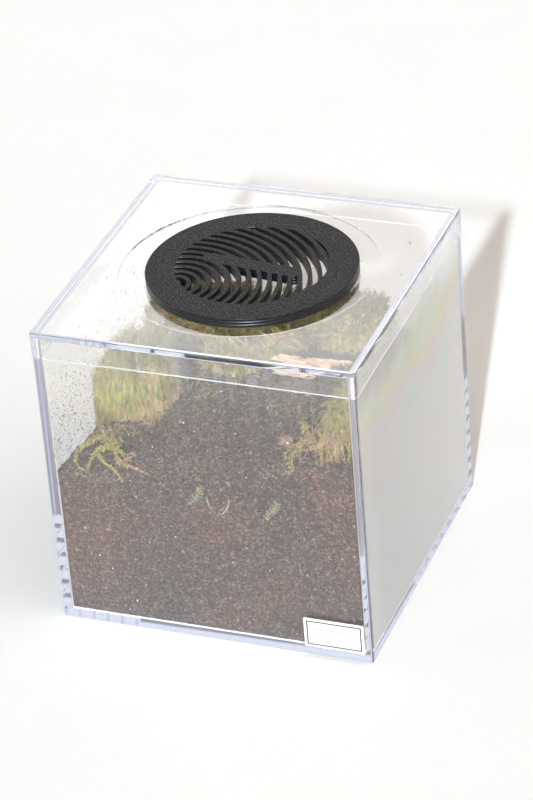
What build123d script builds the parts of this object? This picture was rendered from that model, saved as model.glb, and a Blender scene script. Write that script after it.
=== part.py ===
from build123d import *
from math import floor, hypot
import os

# A planted clear cube for a tiny animal, in millimetres.
# The origin is on the ground under the middle of the box, +Z is up and the labelled face looks along -Y.

# Clear box
box_width = 101.6
shoulder_height = 93.7
wall = 2.5
floor_thickness = 2.7
lip_thickness = 1.4
box_corner_radius = 0.8
inner_corner_radius = 0.5
foot_radius = 0.4

# Lid: its skirt stands on the shoulder of the box, outside the lip
skirt_height = 6.7
lid_plate = 1.9
lid_overhang = 0.3
lid_clearance = 0.15
lip_top_gap = 0.3
lid_edge_radius = 0.3
recess_diameter = 80.0
recess_depth = 0.5

# Vent: a printed flange and grille over a collar that plugs the hole in the lid
vent_hole_diameter = 51.2
vent_centre_x = 1.6
vent_centre_y = -1.4
vent_clearance = 0.15
flange_diameter = 65.0
flange_thickness = 3.0
flange_edge_radius = 0.3
collar_length = 4.0
collar_wall = 1.75

# Grille: ripples of slots about one focus near the rim, with one plain rounded bar across the middle
grille_margin = 0.2
slot_pitch = 3.03
slot_width = 1.7
focus_x = -19.1
focus_y = -16.1
bar_length = 33.0
bar_width = 5.2
bar_angle = -6.0

# Paper label on the front face
label_width = 19.2
label_height = 10.4
label_thickness = 0.15
label_side_margin = 2.4
label_foot_margin = 3.1
label_corner_radius = 0.4

# Soil: each row is a share of the half depth, front to back, with the soil's height above the ground
# at its left, middle and right
soil_rows = (
    (-1.0, 53.0, 56.5, 72.0),
    (-0.5, 51.0, 63.0, 75.0),
    (0.0, 52.0, 65.0, 74.0),
    (0.5, 56.0, 63.0, 68.0),
    (1.0, 58.0, 58.0, 57.0),
)
soil_gap = 0.3

# Moss and leaves: they lie on the soil with a small gap
seat_gap = 0.3
pad_top_share = 0.86
pad_thickness = 6.5
back_moss_thickness = 8.5
wall_moss_thickness = 5.0
mound_thickness = 17.0
mound_top_share = 0.78
tuft_thickness = 4.0
trail_thickness = 2.8
leaf_thickness = 0.8

# Sprigs and a root fibre, pressed between the soil and the front wall
pressed_thickness = 0.8
pressed_gap = 0.3
left_sprig_centre = (-3.4, 50.6)
left_sprig_length = 7.5
middle_sprig_centre = (20.6, 49.0)
middle_sprig_length = 7.0
sprig_tilt = 35.0
leaflet_count = 5
leaflet_length = 2.6
leaflet_width = 1.1
leaflet_offset = 1.0
leaflet_splay = 55.0
stem_width = 0.6
root_start = (4.6, 45.0)
root_bend = (5.4, 48.6)
root_end = (7.8, 51.6)

# Sizes that follow from those above
half_width = box_width / 2
inner_half = half_width - wall
lip_half = inner_half + lip_thickness
lip_height = skirt_height - lip_top_gap
skirt_inner_half = lip_half + lid_clearance
skirt_outer_half = half_width + lid_overhang
lid_height = skirt_height + lid_plate
lid_top = shoulder_height + lid_height
recess_floor = lid_top - recess_depth
collar_radius = vent_hole_diameter / 2 - vent_clearance
bore_radius = collar_radius - collar_wall
grille_radius = bore_radius - grille_margin
soil_half = inner_half - soil_gap
moss_half = soil_half - soil_gap
pressed_back = soil_half - pressed_thickness - pressed_gap

os.makedirs("parts", exist_ok=True)


def finish(part, name):
    """Give a piece its name and write it."""
    part.label = name
    export_step(part, f"parts/{name}.step")


# Box: one moulded shell with a stepped lip round its mouth
with BuildPart() as clear_box:
    with BuildSketch():
        RectangleRounded(box_width, box_width, box_corner_radius)
    extrude(amount=shoulder_height)
    with BuildSketch(Plane.XY.offset(shoulder_height)):
        RectangleRounded(2 * lip_half, 2 * lip_half, inner_corner_radius + lip_thickness)
    extrude(amount=lip_height)
    with BuildSketch(Plane.XY.offset(floor_thickness)):
        RectangleRounded(2 * inner_half, 2 * inner_half, inner_corner_radius)
    extrude(amount=shoulder_height + lip_height - floor_thickness, mode=Mode.SUBTRACT)
    fillet(clear_box.faces().sort_by(Axis.Z)[0].edges(), foot_radius)
finish(clear_box.part, "clear_box")

# Lid: a plate with a skirt, a shallow round recess and the hole for the vent
with BuildPart() as lid:
    with BuildSketch(Plane.XY.offset(shoulder_height)):
        RectangleRounded(2 * skirt_outer_half, 2 * skirt_outer_half, box_corner_radius + lid_overhang)
    extrude(amount=lid_height)
    fillet(lid.faces().sort_by(Axis.Z)[-1].edges(), lid_edge_radius)
    with BuildSketch(Plane.XY.offset(shoulder_height)):
        RectangleRounded(2 * skirt_inner_half, 2 * skirt_inner_half, inner_corner_radius + lip_thickness)
    extrude(amount=skirt_height, mode=Mode.SUBTRACT)
    with BuildSketch(Plane.XY.offset(lid_top)):
        Circle(recess_diameter / 2)
    extrude(amount=-recess_depth, mode=Mode.SUBTRACT)
    with BuildSketch(Plane.XY.offset(lid_top)):
        with Locations((vent_centre_x, vent_centre_y)):
            Circle(vent_hole_diameter / 2)
    extrude(amount=-lid_height, mode=Mode.SUBTRACT)
finish(lid.part, "lid")

# Vent: slots on circles about the focus, kept inside the bore and cut through the flange
focus_reach = hypot(focus_x, focus_y) + grille_radius
slot_count = floor(focus_reach / slot_pitch)
vent_plane = Plane((vent_centre_x, vent_centre_y, recess_floor))
with BuildSketch(vent_plane) as ripple_slots:
    with Locations((focus_x, focus_y)):
        for ring in range(slot_count, 0, -1):
            Circle(ring * slot_pitch + slot_width / 2)
            Circle(ring * slot_pitch - slot_width / 2, mode=Mode.SUBTRACT)
    Circle(grille_radius, mode=Mode.INTERSECT)
    SlotOverall(bar_length, bar_width, rotation=bar_angle, mode=Mode.SUBTRACT)

with BuildPart() as vent_grille:
    with BuildSketch(vent_plane):
        Circle(flange_diameter / 2)
    extrude(amount=flange_thickness)
    fillet(vent_grille.faces().sort_by(Axis.Z)[-1].edges(), flange_edge_radius)
    with BuildSketch(vent_plane):
        Circle(collar_radius)
        Circle(bore_radius, mode=Mode.SUBTRACT)
    extrude(amount=-collar_length)
    add(ripple_slots.sketch)
    extrude(amount=flange_thickness, mode=Mode.SUBTRACT)
finish(vent_grille.part, "vent_grille")

# Label: a paper sticker on the outside of the front wall, near its right-hand lower corner
label_x = half_width - label_side_margin - label_width / 2
label_z = label_foot_margin + label_height / 2
with BuildPart() as label:
    with BuildSketch(Plane.XZ.offset(half_width)):
        with Locations((label_x, label_z)):
            RectangleRounded(label_width, label_height, label_corner_radius)
    extrude(amount=label_thickness)
finish(label.part, "label")


def soil_form(rise):
    """The poured soil, with its top raised by the given height."""
    with BuildPart() as form:
        for share, left, middle, right in soil_rows:
            with BuildSketch(Plane.XZ.offset(-share * soil_half)):
                with BuildLine():
                    Polyline(
                        (-soil_half, left + rise),
                        (-soil_half, floor_thickness),
                        (soil_half, floor_thickness),
                        (soil_half, right + rise),
                    )
                    Spline((soil_half, right + rise), (0, middle + rise), (-soil_half, left + rise))
                make_face()
        loft()
    return form.part


def soil_height(x_share, y_share):
    """Height of the soil near a place given in shares of the half width and half depth."""
    lower = max(row for row in soil_rows[:-1] if row[0] <= y_share)
    upper = soil_rows[soil_rows.index(lower) + 1]
    along = (y_share - lower[0]) / (upper[0] - lower[0])
    left, middle, right = (a + (b - a) * along for a, b in zip(lower[1:], upper[1:]))
    return middle + x_share * (right - left) / 2 + x_share**2 * ((left + right) / 2 - middle)


def pad(outline, thickness, top_share):
    """A clump on the soil: its outline in shares, drawn in towards its middle at the top."""
    points = [Vector(x * moss_half, y * moss_half) for x, y in outline]
    middle = sum(points, Vector()) / len(points)
    heights = [soil_height(x, y) for x, y in outline]
    low = min(heights) - seat_gap
    high = max(heights) + thickness + seat_gap
    with BuildPart() as shape:
        for height, share in ((low, 1.0), (high, top_share)):
            with BuildSketch(Plane.XY.offset(height)):
                with BuildLine():
                    Spline(*[middle + (point - middle) * share for point in points], periodic=True)
                make_face()
        loft()
        add(soil_form(seat_gap + thickness), mode=Mode.INTERSECT)
        add(soil_form(seat_gap), mode=Mode.SUBTRACT)
    return shape.part


# Moss: separate clumps on the soil, each with its outline in shares, its thickness and how far it draws in
moss_clumps = {
    "moss_left_mound": (
        ((-0.99, -0.33), (-0.8, -0.35), (-0.58, -0.33), (-0.5, -0.16), (-0.62, 0.02), (-0.98, 0.05)),
        mound_thickness,
        mound_top_share,
    ),
    "moss_back_left": (
        ((-0.98, 0.52), (-0.6, 0.46), (-0.38, 0.54), (-0.36, 0.95), (-0.7, 0.98), (-0.97, 0.95)),
        back_moss_thickness,
        pad_top_share,
    ),
    "moss_back_middle": (
        ((-0.36, 0.08), (-0.1, 0.02), (0.18, 0.18), (0.22, 0.6), (0.17, 0.96), (-0.22, 0.96), (-0.24, 0.5)),
        pad_thickness,
        pad_top_share,
    ),
    "moss_back_right": (
        ((0.33, 0.3), (0.52, 0.2), (0.71, 0.3), (0.62, 0.62), (0.5, 0.95), (0.33, 0.96)),
        back_moss_thickness,
        pad_top_share,
    ),
    "moss_right_wall": (
        (
            (0.99, -0.9),
            (0.84, -0.88),
            (0.73, -0.72),
            (0.7, -0.4),
            (0.8, 0.0),
            (0.87, 0.4),
            (0.94, 0.76),
            (0.99, 0.78),
            (0.99, 0.3),
            (0.99, -0.3),
        ),
        wall_moss_thickness,
        pad_top_share,
    ),
    "moss_left_tuft": (
        ((-0.9, -0.86), (-0.72, -0.97), (-0.46, -0.9), (-0.36, -0.72), (-0.5, -0.56), (-0.78, -0.6)),
        tuft_thickness,
        pad_top_share,
    ),
    "moss_right_trail": (
        ((0.53, -0.98), (0.6, -0.97), (0.63, -0.82), (0.68, -0.6), (0.61, -0.55), (0.56, -0.78)),
        trail_thickness,
        pad_top_share,
    ),
}
for name, (outline, thickness, top_share) in moss_clumps.items():
    finish(pad(outline, thickness, top_share), name)

# Dead leaves: thin scraps that lie on the soil between the clumps
dry_leaf_outline = ((0.1, -0.08), (0.26, -0.16), (0.46, -0.1), (0.62, 0.06), (0.44, 0.12), (0.24, 0.06))
leaf_scrap_outline = ((0.43, -0.78), (0.5, -0.84), (0.53, -0.74), (0.49, -0.68))
finish(pad(dry_leaf_outline, leaf_thickness, 1.0), "dry_leaf")
finish(pad(leaf_scrap_outline, leaf_thickness, 1.0), "leaf_scrap")

# Sprigs: a stem with pairs of small leaves, flat against the inside of the front wall
front_plane = Plane.XZ.offset(soil_half)


def sprig(centre, length):
    """A flat sprig with its stem tilted to the right of upright."""
    with BuildPart() as shape:
        with BuildSketch(front_plane):
            with Locations(Location((centre[0], centre[1]), -sprig_tilt)):
                Rectangle(stem_width, length)
                for side in (-1, 1):
                    for step in range(leaflet_count):
                        height = (step / (leaflet_count - 1) - 0.5) * (length - leaflet_width)
                        with Locations((side * leaflet_offset, height)):
                            Ellipse(leaflet_length / 2, leaflet_width / 2, rotation=side * (90 - leaflet_splay))
        extrude(amount=-pressed_thickness)
    return shape.part


sprig_left = sprig(left_sprig_centre, left_sprig_length)
sprig_middle = sprig(middle_sprig_centre, middle_sprig_length)
finish(sprig_left, "sprig_left")
finish(sprig_middle, "sprig_middle")

# Root fibre: a thin pale root that curves up the glass
with BuildPart() as root_fibre:
    with BuildLine(Plane.XZ.offset(soil_half - pressed_thickness / 2)) as root_line:
        ThreePointArc(root_start, root_bend, root_end)
    with BuildSketch(Plane(root_line.line @ 0, z_dir=root_line.line % 0)):
        Circle(pressed_thickness / 2)
    sweep()
finish(root_fibre.part, "root_fibre")

# Soil: poured against the walls, with a hollow in front for each thing that is pressed to the glass
with BuildPart() as substrate:
    add(soil_form(0))
    for pressed in (sprig_left, sprig_middle, root_fibre.part):
        extent = pressed.bounding_box()
        with BuildSketch(front_plane):
            with Locations((extent.center().X, extent.center().Z)):
                Rectangle(extent.size.X + 2 * pressed_gap, extent.size.Z + 2 * pressed_gap)
        extrude(amount=pressed_back - soil_half, mode=Mode.SUBTRACT)
finish(substrate.part, "substrate")
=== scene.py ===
import bmesh
import bpy
import numpy as np
from math import radians, tau
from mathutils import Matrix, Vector


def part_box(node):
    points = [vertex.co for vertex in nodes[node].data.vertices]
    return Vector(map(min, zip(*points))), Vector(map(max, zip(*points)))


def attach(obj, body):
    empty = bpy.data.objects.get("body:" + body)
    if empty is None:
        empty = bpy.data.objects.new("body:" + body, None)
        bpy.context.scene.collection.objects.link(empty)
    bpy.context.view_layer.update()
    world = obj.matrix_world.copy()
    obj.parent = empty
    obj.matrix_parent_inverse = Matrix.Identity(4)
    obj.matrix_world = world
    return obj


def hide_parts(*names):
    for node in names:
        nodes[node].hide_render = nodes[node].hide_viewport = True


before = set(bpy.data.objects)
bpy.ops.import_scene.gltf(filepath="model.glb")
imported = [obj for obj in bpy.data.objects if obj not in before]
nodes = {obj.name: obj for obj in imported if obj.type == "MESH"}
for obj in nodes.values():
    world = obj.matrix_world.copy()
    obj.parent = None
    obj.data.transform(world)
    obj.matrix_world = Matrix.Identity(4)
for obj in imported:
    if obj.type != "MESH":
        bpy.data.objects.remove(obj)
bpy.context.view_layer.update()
scene = bpy.context.scene

# All lengths are in metres; mm turns millimetres into them.
mm = 0.001

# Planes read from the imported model
box_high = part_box("clear_box")[1]
lid_low, lid_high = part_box("lid")
soil_low, soil_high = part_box("substrate")
vent_low, vent_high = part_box("vent_grille")
label_low, label_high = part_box("label")
inner_wall = soil_high.x + 0.3 * mm
contact = inner_wall - 0.12 * mm  # how far out loose pieces may press
lowest = soil_low.z + 0.25 * mm  # and how far down


# -------- numbers that repeat

def lattice(cells, seed):
    """A repeatable number from 0 to 1 for each whole-numbered cell."""
    x, y, z = cells.astype(np.int64).T
    mixed = (x * 73856093 ^ y * 19349663 ^ z * 83492791 ^ seed * 2654435761) & 0xFFFFFFFF
    mixed = ((mixed ^ (mixed >> 15)) * 2246822519) & 0xFFFFFFFF
    mixed = ((mixed ^ (mixed >> 13)) * 3266489917) & 0xFFFFFFFF
    return ((mixed ^ (mixed >> 16)) & 0xFFFFF) / 0xFFFFF


def grain(points, size, seed):
    """Smooth noise from -1 to 1 whose lumps are about the given size."""
    scaled = np.asarray(points) / size
    cell = np.floor(scaled)
    part = scaled - cell
    part = part * part * (3 - 2 * part)
    total = 0
    for corner in range(8):
        offset = np.array([corner & 1, corner >> 1 & 1, corner >> 2 & 1])
        weight = np.prod(np.where(offset, part, 1 - part), axis=1)
        total = total + weight * lattice(cell + offset, seed)
    return total * 2 - 1


# -------- pieces

def piece(name, points, faces, material, body, smooth=True):
    """A mesh from arrays of points and faces, riding on a body."""
    mesh = bpy.data.meshes.new(name)
    mesh.from_pydata(np.asarray(points).tolist(), [], [list(face) for face in np.asarray(faces).tolist()])
    mesh.polygons.foreach_set("use_smooth", [smooth] * len(mesh.polygons))
    mesh.materials.append(material)
    mesh.update()
    made = bpy.data.objects.new(name, mesh)
    scene.collection.objects.link(made)
    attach(made, body)
    return made


def together(forms):
    """Joins lists of (points, faces) into one pair of arrays."""
    points, faces, start = [], [], 0
    for form_points, form_faces in forms:
        points.append(form_points)
        faces.append(form_faces + start)
        start += len(form_points)
    return np.concatenate(points), np.concatenate(faces)


def skin(node, voxel):
    """A fresh, evenly divided copy of a CAD node's surface, as points, quads and normals."""
    copy = bpy.data.objects.new("skin", nodes[node].data.copy())
    scene.collection.objects.link(copy)
    remesh = copy.modifiers.new("remesh", "REMESH")
    remesh.mode = "VOXEL"
    remesh.voxel_size = voxel
    remesh.adaptivity = 0
    mesh = bpy.data.meshes.new_from_object(copy.evaluated_get(bpy.context.evaluated_depsgraph_get()))
    points = np.empty(len(mesh.vertices) * 3)
    mesh.vertices.foreach_get("co", points)
    normals = np.empty(len(mesh.vertices) * 3)
    mesh.vertices.foreach_get("normal", normals)
    corners = np.empty(len(mesh.loops), np.int64)
    mesh.loops.foreach_get("vertex_index", corners)
    bpy.data.objects.remove(copy)
    bpy.data.meshes.remove(mesh)
    return points.reshape(-1, 3), corners.reshape(-1, 4), normals.reshape(-1, 3)


def scatter(points, faces, normals, count, rng, wanted):
    """Random places on quads, with their normals; wanted gives each face's share."""
    corners = points[faces]
    area = np.linalg.norm(np.cross(corners[:, 2] - corners[:, 0], corners[:, 3] - corners[:, 1]), axis=1)
    share = area * wanted(corners.mean(1), normals[faces].mean(1))
    chosen = rng.choice(len(faces), count, p=share / share.sum())
    u, v = rng.random((2, count, 1))
    c = corners[chosen]
    places = (c[:, 0] * (1 - u) + c[:, 1] * u) * (1 - v) + (c[:, 3] * (1 - u) + c[:, 2] * u) * v
    facing = normals[faces[chosen]].mean(1)
    return places, facing / np.linalg.norm(facing, axis=1, keepdims=True)


def unit(v):
    return v / np.maximum(np.linalg.norm(v, axis=-1, keepdims=True), 1e-9)


def within(points, reach=contact):
    """Presses points that reach the walls or the box's floor flat against them."""
    points[:, :2] = np.clip(points[:, :2], -reach, reach)
    points[:, 2] = np.maximum(points[:, 2], lowest)
    return points


def loose(name, forms, material, reach=contact, smooth=True):
    """One piece in the box from many small forms, pressed flat where they reach the walls."""
    points, faces = together(forms)
    return piece(name, within(points, reach), faces, material, "box", smooth)


def strip_faces(rows, columns):
    """The quads of a grid whose points are numbered row by row."""
    grid = np.arange(rows * columns).reshape(rows, columns)
    return np.stack([grid[:-1, :-1], grid[1:, :-1], grid[1:, 1:], grid[:-1, 1:]], -1).reshape(-1, 4)


def halved(quads):
    """Quads cut into triangles."""
    return np.concatenate([quads[:, [0, 1, 2]], quads[:, [0, 2, 3]]])


# -------- materials

def new_material(name, roughness, specular=0.5):
    material = bpy.data.materials.new(name)
    material.use_nodes = True
    tree = material.node_tree
    shader = tree.nodes["Principled BSDF"]
    shader.inputs["Roughness"].default_value = roughness
    shader.inputs["Specular IOR Level"].default_value = specular
    return material, tree, shader


def node(tree, kind, **settings):
    made = tree.nodes.new(kind)
    for key, value in settings.items():
        setattr(made, key, value)
    return made


def own_place(tree, stretch=(1, 1, 1), shift=(0, 0, 0)):
    """The piece's own coordinates, stretched and then shifted."""
    made = node(tree, "ShaderNodeMapping")
    made.inputs["Scale"].default_value = stretch
    made.inputs["Location"].default_value = shift
    tree.links.new(node(tree, "ShaderNodeTexCoord").outputs["Object"], made.inputs["Vector"])
    return made.outputs["Vector"]


def axes(tree, kind, output):
    """X, Y and Z of a new node's output."""
    made = node(tree, "ShaderNodeSeparateXYZ")
    tree.links.new(node(tree, kind).outputs[output], made.inputs[0])
    return made.outputs


def own_axes(tree):
    return axes(tree, "ShaderNodeTexCoord", "Object")


def normal_axes(tree):
    return axes(tree, "ShaderNodeNewGeometry", "True Normal")


def slant(tree):
    """How far a face turns away from the ray that meets it, from 0 to 1."""
    made = node(tree, "ShaderNodeLayerWeight")
    made.inputs["Blend"].default_value = 0.5
    return made.outputs["Facing"]


def noise(tree, size, detail=3.0, rough=0.6, stretch=(1, 1, 1)):
    """Noise whose lumps are about the given size."""
    made = node(tree, "ShaderNodeTexNoise")
    made.inputs["Scale"].default_value = 1 / size
    made.inputs["Detail"].default_value = detail
    made.inputs["Roughness"].default_value = rough
    tree.links.new(own_place(tree, stretch), made.inputs["Vector"])
    return made.outputs["Fac"]


def cells(tree, size, stretch=(1, 1, 1)):
    """A random grey for each cell of about the given size."""
    made = node(tree, "ShaderNodeTexVoronoi")
    made.inputs["Scale"].default_value = 1 / size
    tree.links.new(own_place(tree, stretch), made.inputs["Vector"])
    grey = node(tree, "ShaderNodeSeparateColor")
    tree.links.new(made.outputs["Color"], grey.inputs["Color"])
    return grey.outputs["Red"]


def wave(tree, place, width, **settings):
    """Bands or rings of the given width."""
    made = node(tree, "ShaderNodeTexWave", **settings)
    made.inputs["Scale"].default_value = tau / 20 / width
    tree.links.new(place, made.inputs["Vector"])
    return made


def ramp(tree, factor, stops):
    made = node(tree, "ShaderNodeValToRGB")
    bar = made.color_ramp
    while len(bar.elements) < len(stops):
        bar.elements.new(0.5)
    for element, (place, colour) in zip(bar.elements, stops):
        element.position = place
        element.color = (*colour, 1)
    tree.links.new(factor, made.inputs["Fac"])
    return made.outputs["Color"]


def blend(tree, factor, first, second, kind="MIX"):
    made = node(tree, "ShaderNodeMix", data_type="RGBA", blend_type=kind)
    colour_a = [s for s in made.inputs if s.name == "A" and s.type == "RGBA"][0]
    colour_b = [s for s in made.inputs if s.name == "B" and s.type == "RGBA"][0]
    for socket, value in ((made.inputs[0], factor), (colour_a, first), (colour_b, second)):
        if isinstance(value, bpy.types.NodeSocket):
            tree.links.new(value, socket)
        elif socket.type == "RGBA":
            socket.default_value = (*value, 1)
        else:
            socket.default_value = value
    return [s for s in made.outputs if s.type == "RGBA"][0]


def maths(tree, kind, first, second=0.0, clamp=False):
    made = node(tree, "ShaderNodeMath", operation=kind, use_clamp=clamp)
    for socket, value in zip(made.inputs, (first, second)):
        if isinstance(value, bpy.types.NodeSocket):
            tree.links.new(value, socket)
        else:
            socket.default_value = value
    return made.outputs[0]


def times(tree, first, second, clamp=False):
    return maths(tree, "MULTIPLY", first, second, clamp)


def plus(tree, first, second):
    return maths(tree, "ADD", first, second)


def all_but(tree, share):
    """1 less a share."""
    return maths(tree, "SUBTRACT", 1.0, share)


def rise(tree, value, start, end):
    """0 where a value is at the start or before it, 1 at the end or past it."""
    return times(tree, maths(tree, "SUBTRACT", value, start), 1 / (end - start), clamp=True)


def bump(tree, shader, height, depth, strength=1.0):
    made = node(tree, "ShaderNodeBump")
    made.inputs["Strength"].default_value = strength
    made.inputs["Distance"].default_value = depth
    tree.links.new(height, made.inputs["Height"])
    tree.links.new(made.outputs["Normal"], shader.inputs["Normal"])


FILM_LOOK = (0.9, 0.1)  # roughness and specular level
# The height of the painted band of soil and moss colours on the right wall's film
PAINTED_BAND_HEIGHT = 78 * mm
TRACK_WIDTH = 0.9 * mm
LAYER_HEIGHT = 1.0 * mm
VENT_RIM = 29.3 * mm  # the tracks run round the middle from here outwards


def plastic(name, side_loss):
    """Clear moulded polystyrene, bluish through its edges. Lamps reach what is behind it, but less at a slant.

    side_loss is the share of the lamps' light that each upright face keeps back.
    """
    material, tree, shader = new_material(name, 0.015)
    shader.inputs["Base Color"].default_value = (1, 1, 1, 1)
    shader.inputs["IOR"].default_value = 1.59
    shader.inputs["Transmission Weight"].default_value = 1
    slanting = times(tree, maths(tree, "SUBTRACT", slant(tree), 0.55), 3.8, clamp=True)
    upright = maths(tree, "LESS_THAN", maths(tree, "ABSOLUTE", normal_axes(tree)["Z"]), 0.5)
    lost = maths(tree, "MAXIMUM", slanting, times(tree, upright, side_loss))
    to_lamp = node(tree, "ShaderNodeLightPath").outputs["Is Shadow Ray"]
    mixed = node(tree, "ShaderNodeMixShader")
    tree.links.new(times(tree, to_lamp, all_but(tree, lost)), mixed.inputs[0])
    tree.links.new(shader.outputs[0], mixed.inputs[1])
    tree.links.new(node(tree, "ShaderNodeBsdfTransparent").outputs[0], mixed.inputs[2])
    tint = node(tree, "ShaderNodeVolumeAbsorption")
    tint.inputs["Color"].default_value = (0.2, 0.34, 0.8, 1)
    tint.inputs["Density"].default_value = 3.2
    output = tree.nodes["Material Output"]
    tree.links.new(mixed.outputs[0], output.inputs["Surface"])
    tree.links.new(tint.outputs[0], output.inputs["Volume"])
    return material


def stains_and_painted_light(tree):
    """Pale grey film colour with painted light in it: paler high up and at the back, where white shows through behind,
    and a wavy band that paints in the colours of the soil and moss behind it.
    """
    spot = own_axes(tree)
    # The wavy band is painted light: its colours paint in the soil and moss that show through behind the film, not a
    # stain.
    wavy = plus(tree, spot["Z"], times(tree, noise(tree, 15 * mm, 4.0), 36 * mm))
    above = maths(tree, "SUBTRACT", wavy, PAINTED_BAND_HEIGHT + 18 * mm)
    near = rise(tree, maths(tree, "ABSOLUTE", above), 13 * mm, 0)
    mixed = plus(tree, times(tree, above, 1 / (16 * mm)), noise(tree, 6 * mm, 2.0, 0.5, (1, 1, 0.4)))
    tint = ramp(tree, mixed, [(0.3, (1.0, 0.78, 0.6)), (0.5, (1.0, 0.92, 0.48)), (0.7, (0.8, 0.92, 0.4))])
    plain = ramp(tree, noise(tree, 24 * mm, 2.0), [(0.4, (1.0, 0.93, 0.9)), (0.6, (0.92, 0.98, 0.92))])
    # Painted light: the film's colour grows paler towards the back and high up, where white shows through behind it.
    painted_light_to_back = times(tree, plus(tree, spot["Y"], 45 * mm), 0.22 / (90 * mm), clamp=True)
    painted_light_upwards = times(tree, plus(tree, rise(tree, above, -10 * mm, 40 * mm), 3.6), 0.17)
    return blend(tree, 1.0, blend(tree, near, plain, tint), plus(tree, painted_light_upwards, painted_light_to_back), "MULTIPLY")


def haze(name, straight, slanted, colour=None, thin_above=None):
    """Dust and dried damp on the inside of a wall: how much shows straight on, and how much more at a slant.

    Without a colour the film's colour holds painted light: pale stains made paler high up and at the back, and a
    painted band of the soil and moss colours behind it. thin_above is a pair of heights between which it thins out.
    """
    material, tree, shader = new_material(name, *FILM_LOOK)
    if colour:
        shader.inputs["Base Color"].default_value = (*colour, 1)
    else:
        tree.links.new(stains_and_painted_light(tree), shader.inputs["Base Color"])
    thick = plus(tree, times(tree, maths(tree, "POWER", slant(tree), 3.0), slanted), straight)
    if thin_above:
        low, high = thin_above
        wavy = plus(tree, own_axes(tree)["Z"], times(tree, noise(tree, 20 * mm), 12 * mm))
        share = rise(tree, wavy, high + 6 * mm, low + 6 * mm)
        thick = times(tree, thick, plus(tree, times(tree, share, 0.85), 0.15))
    cloud = plus(tree, times(tree, noise(tree, 14 * mm), 0.5), 0.75)
    tree.links.new(times(tree, thick, cloud, clamp=True), shader.inputs["Alpha"])
    return material


def streaks(name, stretch, low, high, axis, left_share, everywhere):
    """Pale streaks of dried damp in pale peach, yellow-green and grey: none at one place along an axis, full at the
    other.

    left_share is how much thicker they get over the left half, short of its edge.
    """
    material, tree, shader = new_material(name, *FILM_LOOK)
    tints = [
        (0.36, (0.95, 0.8, 0.64)),
        (0.46, (0.9, 0.9, 0.6)),
        (0.54, (0.95, 0.95, 0.93)),
        (0.64, (0.95, 0.86, 0.74)),
    ]
    tree.links.new(ramp(tree, noise(tree, 3.0 * mm, 2.0, 0.6, stretch), tints), shader.inputs["Base Color"])
    spot = own_axes(tree)
    line = ramp(tree, noise(tree, 2.2 * mm, 4.0, 0.7, stretch), [(0.4, (0.1, 0.1, 0.1)), (0.62, (1, 1, 1))])
    to_left = rise(tree, spot["X"], 4 * mm, -32 * mm)
    off_edge = rise(tree, spot["X"], -36 * mm, -29 * mm)
    thick = plus(tree, times(tree, times(tree, to_left, off_edge), left_share), everywhere)
    thick = times(tree, thick, rise(tree, spot[axis], low, high))
    tree.links.new(times(tree, thick, line, clamp=True), shader.inputs["Alpha"])
    return material


def printed():
    """Matt black printed plastic: the nozzle's tracks on top, in rings at the rim, and the layers at the sides."""
    material, tree, shader = new_material("printed_plastic", 0.5, 0.3)
    middle = (-(vent_low.x + vent_high.x) / 2, -(vent_low.y + vent_high.y) / 2, 0)
    flat = own_place(tree, (1, 1, 0), middle)
    rings = wave(tree, flat, TRACK_WIDTH, wave_type="RINGS", rings_direction="Z")
    rows = wave(tree, own_place(tree), TRACK_WIDTH, wave_type="BANDS", bands_direction="DIAGONAL")
    rows.inputs["Distortion"].default_value = 1.5
    rows.inputs["Detail Scale"].default_value = 3.0
    away = node(tree, "ShaderNodeVectorMath", operation="LENGTH")
    tree.links.new(flat, away.inputs[0])
    outer = maths(tree, "GREATER_THAN", away.outputs["Value"], VENT_RIM)
    inner_rows = times(tree, rows.outputs["Fac"], all_but(tree, outer))
    tracks = plus(tree, times(tree, rings.outputs["Fac"], outer), inner_rows)
    # Painted sparkle: light specks in the colour of the top faces stand in for glints; the sides stay plain black.
    speckle = noise(tree, 0.45 * mm, 2.0, 0.75)
    painted_sparkle_greys = [(0.42, (0.002, 0.002, 0.002)), (0.55, (0.014, 0.014, 0.015)), (0.68, (0.15, 0.15, 0.155))]
    on_top = maths(tree, "GREATER_THAN", normal_axes(tree)["Z"], 0.5)
    colour = blend(tree, on_top, (0.012, 0.012, 0.014), ramp(tree, speckle, painted_sparkle_greys))
    tree.links.new(colour, shader.inputs["Base Color"])
    tree.links.new(plus(tree, times(tree, on_top, 0.42), 0.3), shader.inputs["Roughness"])
    top_height = times(tree, plus(tree, times(tree, tracks, 0.5), speckle), on_top)
    layers = wave(tree, own_place(tree), LAYER_HEIGHT, wave_type="BANDS", bands_direction="Z")
    side_height = times(tree, layers.outputs["Fac"], all_but(tree, on_top))
    bump(tree, shader, plus(tree, top_height, side_height), 0.2 * mm)
    return material


def paper():
    material, tree, shader = new_material("label_paper", 0.55)
    colour = ramp(tree, noise(tree, 0.6 * mm), [(0.3, (0.84, 0.84, 0.83)), (0.7, (0.93, 0.93, 0.92))])
    tree.links.new(colour, shader.inputs["Base Color"])
    bump(tree, shader, noise(tree, 0.25 * mm), 0.02 * mm, 0.4)
    return material


def ink():
    material, tree, shader = new_material("label_ink", 0.6)
    colour = ramp(tree, noise(tree, 0.5 * mm), [(0.3, (0.03, 0.035, 0.035)), (0.7, (0.07, 0.075, 0.075))])
    tree.links.new(colour, shader.inputs["Base Color"])
    return material


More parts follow.
